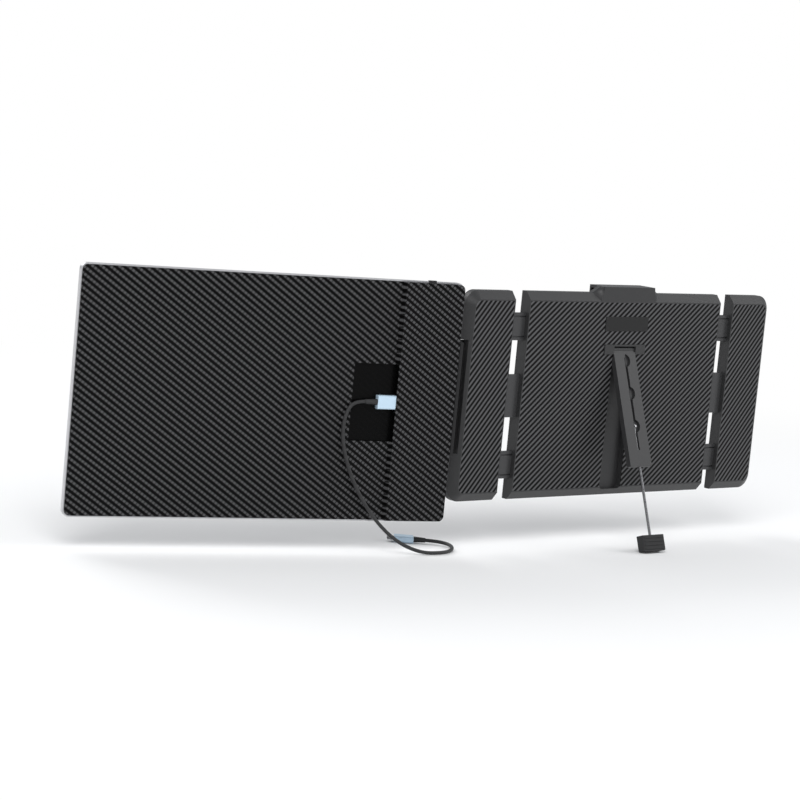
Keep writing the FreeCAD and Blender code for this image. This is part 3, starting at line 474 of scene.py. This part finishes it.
def cover_screws():
    """Low heads of the cover screws, each with a dark cross on it: painted shade of the cross recess."""
    face = SCREW_PROUD + CROSS_PROUD
    for body, columns in SCREW_COLUMNS.items():
        heads = bmesh.new()
        cross_shades = bmesh.new()
        for z in (SCREW_HEIGHT, -SCREW_HEIGHT):
            for x in columns:
                add_disc(heads, (x, 0, z), SCREW_RADIUS, 2 * SCREW_PROUD, "Y")
                # The dark cross is a block proud of the head, painted shade standing for the recessed slot
                for width, height in ((CROSS_LENGTH, CROSS_WIDTH), (CROSS_WIDTH, CROSS_LENGTH)):
                    add_block(cross_shades, (x - width, 0, z - height), (x + width, face, z + height))
        add_fitting(f"{body}_screw_heads", heads, FLAT, body, screw_steel)
        add_fitting(f"{body}_screw_cross_shades", cross_shades, FLAT, body, black_rubber)


LEAF_SCREW_HEIGHTS = (-36, -12, 12, 36)
LEAF_SCREW_INSET = 3
LEAF_SCREW_DEPTH = 14.5
LEAF_SCREW_LENGTH = 0.8


def leaf_screws():
    """Screw heads on the hinge leaf, where it meets the screen's edge."""
    mesh = bmesh.new()
    for height in LEAF_SCREW_HEIGHTS:
        place = (PANEL_START - LEAF_SCREW_INSET, LEAF_SCREW_DEPTH, height)
        add_disc(mesh, place, SCREW_RADIUS, LEAF_SCREW_LENGTH, "X")
    add_fitting("leaf_screw_heads", mesh, PANEL, "screen", screw_steel)


BORDER_SIDE = 7
BORDER_FOOT = 14
BORDER_EDGE = 1.4
BORDER_CORNER = 5
BORDER_PROUD = 0.06
BORDER_SUNK = 0.2


def screen_border():
    """Printed black border on the front of the glass, in four strips with open corners."""
    low, high = PANEL_BOTTOM + BORDER_EDGE, PANEL_TOP - BORDER_EDGE
    near, far = PANEL_START + BORDER_EDGE, PANEL_END - BORDER_EDGE
    face, back = PANEL_FRONT - BORDER_PROUD, PANEL_FRONT + BORDER_SUNK
    start, end = near + BORDER_CORNER, far - BORDER_CORNER
    bottom, top = low + BORDER_CORNER, high - BORDER_CORNER
    strips = {
        "top": ((start, face, high - BORDER_SIDE), (end, back, high)),
        "foot": ((start, face, low), (end, back, low + BORDER_FOOT)),
        "near": ((near, face, bottom), (near + BORDER_SIDE, back, top)),
        "far": ((far - BORDER_SIDE, face, bottom), (far, back, top)),
    }
    for name, corners in strips.items():
        mesh = bmesh.new()
        add_block(mesh, *corners)
        add_fitting(f"screen_border_{name}", mesh, PANEL, "screen", dark_display)


SOCKET_HEIGHTS = (-5.3, 12.7)
TONGUE_ALONG = (62.9, 68.5)
TONGUE_BEHIND = (18.3, 18.9)
TONGUE_HALF_WIDTH = 3.1
TONGUE_BEVEL = 0.1


def socket_tongues():
    """Contact tongue in each socket."""
    for number, height in enumerate(SOCKET_HEIGHTS):
        mesh = bmesh.new()
        low = (TONGUE_ALONG[0], TONGUE_BEHIND[0], height - TONGUE_HALF_WIDTH)
        high = (TONGUE_ALONG[1], TONGUE_BEHIND[1], height + TONGUE_HALF_WIDTH)
        add_block(mesh, low, high, TONGUE_BEVEL)
        add_fitting(f"socket_tongue_{number + 1}", mesh, PANEL, "screen", black_rubber)


RING_HEIGHTS = (-30, -10, 10, 30)
RING_RADIUS = 2.86
RING_THICKNESS = 0.5
RING_SIDES = 32


def hinge_rings():
    """Fine rings that part the barrel into knuckles."""
    mesh = bmesh.new()
    for height in RING_HEIGHTS:
        add_disc(mesh, (HINGE.x, HINGE.y, height), RING_RADIUS, RING_THICKNESS, "Z", RING_SIDES)
    add_fitting("hinge_barrel_rings", mesh, FLAT, "screen", black_rubber)


FOOT_RIB_COUNT = 4
FOOT_RIB_LOWEST = -187.5
FOOT_RIB_PITCH = 3.4
FOOT_RIB_HALF = Vector((12.6, 0, 0.6))
FOOT_RIB_REAR = -5.05
FOOT_RIB_FRONT = -4.6
FOOT_RIB_BEVEL = 0.15


def foot_ribs():
    """Ribs across the rear of the rubber foot."""
    mesh = bmesh.new()
    for step in range(FOOT_RIB_COUNT):
        height = FOOT_RIB_LOWEST + FOOT_RIB_PITCH * step
        low = Vector((0, FOOT_RIB_REAR, height)) - FOOT_RIB_HALF
        high = Vector((0, FOOT_RIB_FRONT, height)) + FOOT_RIB_HALF
        add_block(mesh, low, high, FOOT_RIB_BEVEL)
    add_fitting("foot_ribs", mesh, STAND, "prop_rod", foot_rubber)


PAD_MIDDLE = 70.8
PAD_RIB_INNER = 192
PAD_RIB_OUTER = 196.6
PAD_RIB_BACK = 5.75
PAD_RIB_FACE = 5.95
PAD_RIB_STEPS = range(-3, 4)
PAD_RIB_PITCH = 2.8
PAD_RIB_HALF = 0.5


def pad_ribs():
    """Grip ribs on the inner face of the edge pads."""
    for side, sign in (("left", -1), ("right", 1)):
        low, high = sorted((PAD_RIB_INNER * sign, PAD_RIB_OUTER * sign))
        mesh = bmesh.new()
        for middle in (-PAD_MIDDLE, PAD_MIDDLE):
            for step in PAD_RIB_STEPS:
                z = middle + step * PAD_RIB_PITCH
                add_block(mesh, (low, PAD_RIB_BACK, z - PAD_RIB_HALF), (high, PAD_RIB_FACE, z + PAD_RIB_HALF))
        add_fitting(f"{side}_pad_ribs", mesh, FLAT, f"{side}_bracket", black_rubber)


FREE_PLUG_ALONG = Vector((-0.8, 0.6, 0))
FREE_PLUG_ACROSS = Vector((0.6, 0.8, 0))
RELIEF_LENGTH = 11
PLUG_BODY_LENGTH = 17
PLUG_NOSE_LENGTH = 6.4
MOUTH_LOW = (-0.3, -3.6, -0.85)
MOUTH_HIGH = (0.03, 3.6, 0.85)
MOUTH_BEVEL = 0.02


def plug_mouth():
    """Dark plate across the nose of the free plug: painted shade of its opening, together with the black
    insulator inside it.
    """
    reach = RELIEF_LENGTH + PLUG_BODY_LENGTH + PLUG_NOSE_LENGTH
    end = Vector(CABLE_ROUTE[-1]) + FREE_PLUG_ALONG * reach
    mesh = bmesh.new()
    # A thin dark plate stands for the hollow: painted shade, over the black insulator
    add_block(mesh, MOUTH_LOW, MOUTH_HIGH, MOUTH_BEVEL)
    place = axes_at(end, FREE_PLUG_ALONG, FREE_PLUG_ACROSS, UP)
    add_fitting("far_plug_mouth_shade", mesh, place, "screen", black_rubber)


cover_screws()
leaf_screws()
screen_border()
socket_tongues()
hinge_rings()
foot_ribs()
pad_ribs()
plug_mouth()


# Floor and light

SHADOW_START = 450
SHADOW_END = 1300
FLOOR_SPAN = 12000
FLOOR_THICKNESS = 10
FLOOR_GAP = 0.1
WORLD_COLOR = (0.9, 0.92, 0.95, 1)
WORLD_STRENGTH = 0.55
LIGHTS = {
    "key_light": {"place": (-1600, -1400, 1900), "size": 1600, "power": 42},
    "side_light": {"place": (1800, -1200, 1200), "size": 1400, "power": 22},
    "front_light": {"place": (-400, 2000, 1400), "size": 1400, "power": 22},
}


def fade_to_white(material, shader):
    """Round the object the floor takes its shadow; farther out it is plain white."""
    tree = material.node_tree
    place = tree.nodes.new("ShaderNodeTexCoord")
    reach = tree.nodes.new("ShaderNodeVectorMath")
    reach.operation = "LENGTH"
    white = tree.nodes.new("ShaderNodeEmission")
    pick = tree.nodes.new("ShaderNodeMixShader")
    tree.links.new(place.outputs["Object"], reach.inputs[0])
    fade = smooth_rise(tree, reach.outputs["Value"], SHADOW_START * MM, SHADOW_END * MM)
    tree.links.new(fade, pick.inputs[0])
    tree.links.new(shader.outputs[0], pick.inputs[1])
    tree.links.new(white.outputs[0], pick.inputs[2])
    tree.links.new(pick.outputs[0], tree.nodes["Material Output"].inputs["Surface"])


def plain_stage():
    material, shader = new_material("pale_floor", (0.9, 0.9, 0.9), {"Roughness": 0.9})
    fade_to_white(material, shader)
    mesh = bmesh.new()
    add_block(mesh, (-FLOOR_SPAN, -FLOOR_SPAN, -FLOOR_THICKNESS), (FLOOR_SPAN, FLOOR_SPAN, 0))
    floor = mesh_object("floor", mesh, FLAT, material)
    floor.location.z = cad_low[2] - FLOOR_GAP * MM


def soft_light(name, place, size, power):
    """A square lamp that faces the middle of the object."""
    lamp = bpy.data.lights.new(name, "AREA")
    lamp.size = size * MM
    lamp.energy = power
    holder = new_object(name, lamp)
    holder.location = Vector(place) * MM
    holder.rotation_euler = (-Vector(place)).to_track_quat("-Z", "Y").to_euler()


def pale_world():
    """A pale sky that lights the object, plain white where the camera sees it."""
    world = bpy.data.worlds.new("studio")
    world.use_nodes = True
    tree = world.node_tree
    sky = tree.nodes["Background"]
    sky.inputs["Color"].default_value = WORLD_COLOR
    sky.inputs["Strength"].default_value = WORLD_STRENGTH
    bright = tree.nodes.new("ShaderNodeBackground")
    bright.inputs["Color"].default_value = (1, 1, 1, 1)
    bright.inputs["Strength"].default_value = 1
    path = tree.nodes.new("ShaderNodeLightPath")
    pick = tree.nodes.new("ShaderNodeMixShader")
    tree.links.new(path.outputs["Is Camera Ray"], pick.inputs[0])
    tree.links.new(sky.outputs[0], pick.inputs[1])
    tree.links.new(bright.outputs[0], pick.inputs[2])
    tree.links.new(pick.outputs[0], tree.nodes["World Output"].inputs["Surface"])
    bpy.context.scene.world = world


plain_stage()
pale_world()
for name, light in LIGHTS.items():
    soft_light(name, **light)
bpy.context.scene.view_settings.view_transform = "Standard"
